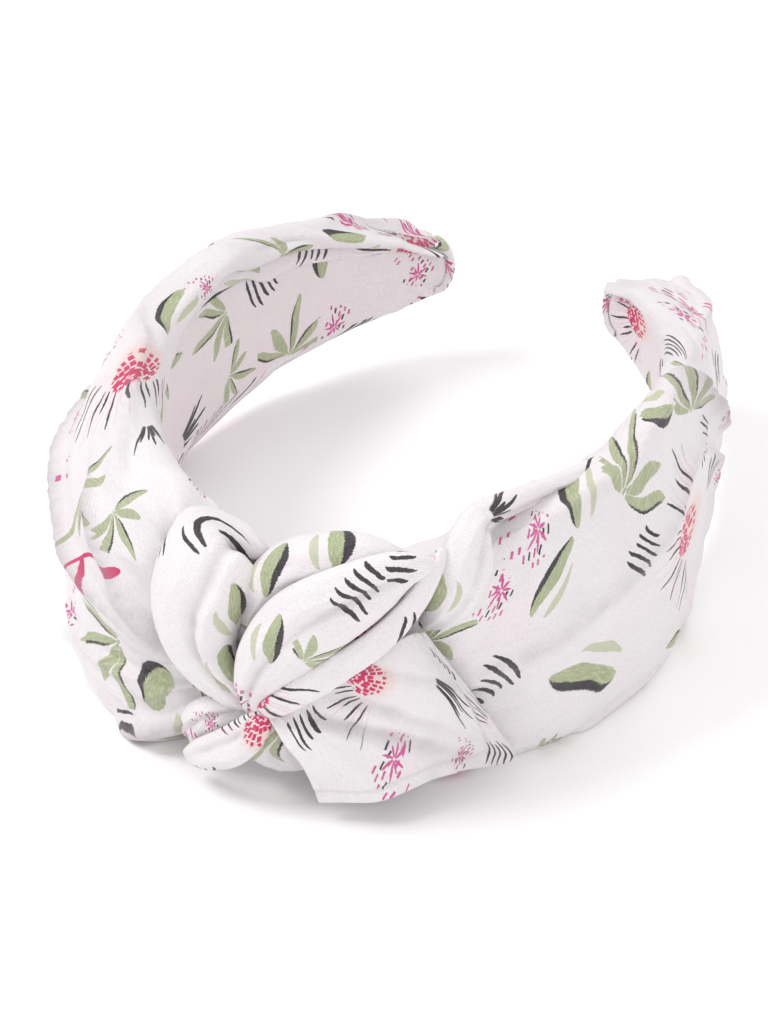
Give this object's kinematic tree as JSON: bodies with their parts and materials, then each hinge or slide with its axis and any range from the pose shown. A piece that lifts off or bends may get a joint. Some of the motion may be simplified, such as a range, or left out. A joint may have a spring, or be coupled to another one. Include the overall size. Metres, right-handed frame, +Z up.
{
  "type": "knotted headband",
  "caption": "Wide padded headband wrapped in gathered printed satin, with a folded cloth knot beside the crown and springy arms that open to grip a head.",
  "frame": {"origin": "middle of the bounding box at the face the headband lies on", "axes": "+Y from the knot to the tips, +Z up across the band's width, +X towards the right arm as seen from the knot"},
  "size_m": [0.1596, 0.1901, 0.0678],
  "materials": {
    "core": "smooth moulded spring plastic",
    "foam_tape": "thin double-sided tape",
    "foam": "open-cell sponge foam",
    "lining_cloth": "matte printed ribbon lining",
    "printed_cloth": "soft satin with a botanical print",
    "thread": "spun sewing thread"
  },
  "bodies": {
    "crown": {"core_crown": "core", "foam_tape_crown": "foam_tape", "foam_crown": "foam", "lining_crown": "lining_cloth", "wrap_left_gather": "printed_cloth", "wrap_left_crown": "printed_cloth", "wrap_right_gather": "printed_cloth", "wrap_right_crown": "printed_cloth", "knot_core": "printed_cloth", "knot_left_lobe": "printed_cloth", "knot_back_lobe": "printed_cloth", "knot_front_strap": "printed_cloth", "knot_under_strap": "printed_cloth", "knot_right_lobe": "printed_cloth", "tail_flap": "printed_cloth", "small_tail": "printed_cloth", "small_tail_back": "printed_cloth", "knot_stitches": "thread"},
    "left_arm": {"core_left_arm": "core", "foam_tape_left_arm": "foam_tape", "foam_left_arm": "foam", "lining_left_arm": "lining_cloth", "wrap_left_arm": "printed_cloth", "tip_fold_left": "printed_cloth"},
    "right_arm": {"core_right_arm": "core", "foam_tape_right_arm": "foam_tape", "foam_right_arm": "foam", "lining_right_arm": "lining_cloth", "wrap_right_arm": "printed_cloth", "tip_fold_right": "printed_cloth"}
  },
  "joints": [
    {"name": "left_arm_flex", "type": "hinge", "parent": "crown", "child": "left_arm", "pos_m": [-0.05838, -0.01591, 0.031], "axis": [0, 0, 1], "range_deg": [0, 14], "stiffness_Nm_per_rad": 0.6},
    {"name": "right_arm_flex", "type": "hinge", "parent": "crown", "child": "right_arm", "pos_m": [0.05838, -0.01591, 0.031], "axis": [0, 0, -1], "range_deg": [0, 14], "stiffness_Nm_per_rad": 0.6}
  ]
}
